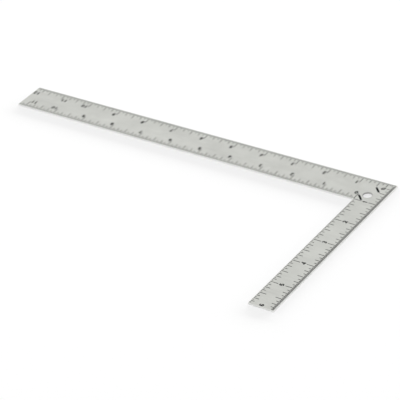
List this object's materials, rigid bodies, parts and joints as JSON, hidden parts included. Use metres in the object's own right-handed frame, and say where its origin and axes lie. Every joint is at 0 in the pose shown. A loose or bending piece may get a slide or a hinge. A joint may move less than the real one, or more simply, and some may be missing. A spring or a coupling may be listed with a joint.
{
  "type": "steel square ruler",
  "caption": "Flat L-shaped steel square ruler with graduated edges, black line and number marks and a round hang hole near its corner, for marking out and cutting square leather.",
  "frame": {"origin": "outer corner of the square, on the plane of its underside", "axes": "+X along the long arm, +Y along the short arm, +Z out of the marked face"},
  "size_m": [0.3048, 0.1524, 0.001],
  "materials": {
    "steel": "satin",
    "black_paint": "matte"
  },
  "bodies": {
    "root": {"steel_blade": "steel", "long_outer_inch_lines": "black_paint", "long_outer_half_lines": "black_paint", "long_outer_quarter_lines": "black_paint", "long_outer_eighth_lines": "black_paint", "long_outer_sixteenth_lines": "black_paint", "long_inner_inch_lines": "black_paint", "long_inner_half_lines": "black_paint", "long_inner_quarter_lines": "black_paint", "long_inner_eighth_lines": "black_paint", "long_inner_sixteenth_lines": "black_paint", "short_outer_inch_lines": "black_paint", "short_outer_half_lines": "black_paint", "short_outer_quarter_lines": "black_paint", "short_outer_eighth_lines": "black_paint", "short_outer_sixteenth_lines": "black_paint", "short_outer_thirty_second_lines": "black_paint", "short_inner_inch_lines": "black_paint", "short_inner_half_lines": "black_paint", "short_inner_quarter_lines": "black_paint", "short_inner_eighth_lines": "black_paint", "short_inner_sixteenth_lines": "black_paint", "long_outer_numbers": "black_paint", "long_inner_numbers": "black_paint", "short_arm_numbers": "black_paint", "corner_zero_mark": "black_paint", "corner_bars": "black_paint"}
  },
  "joints": []
}
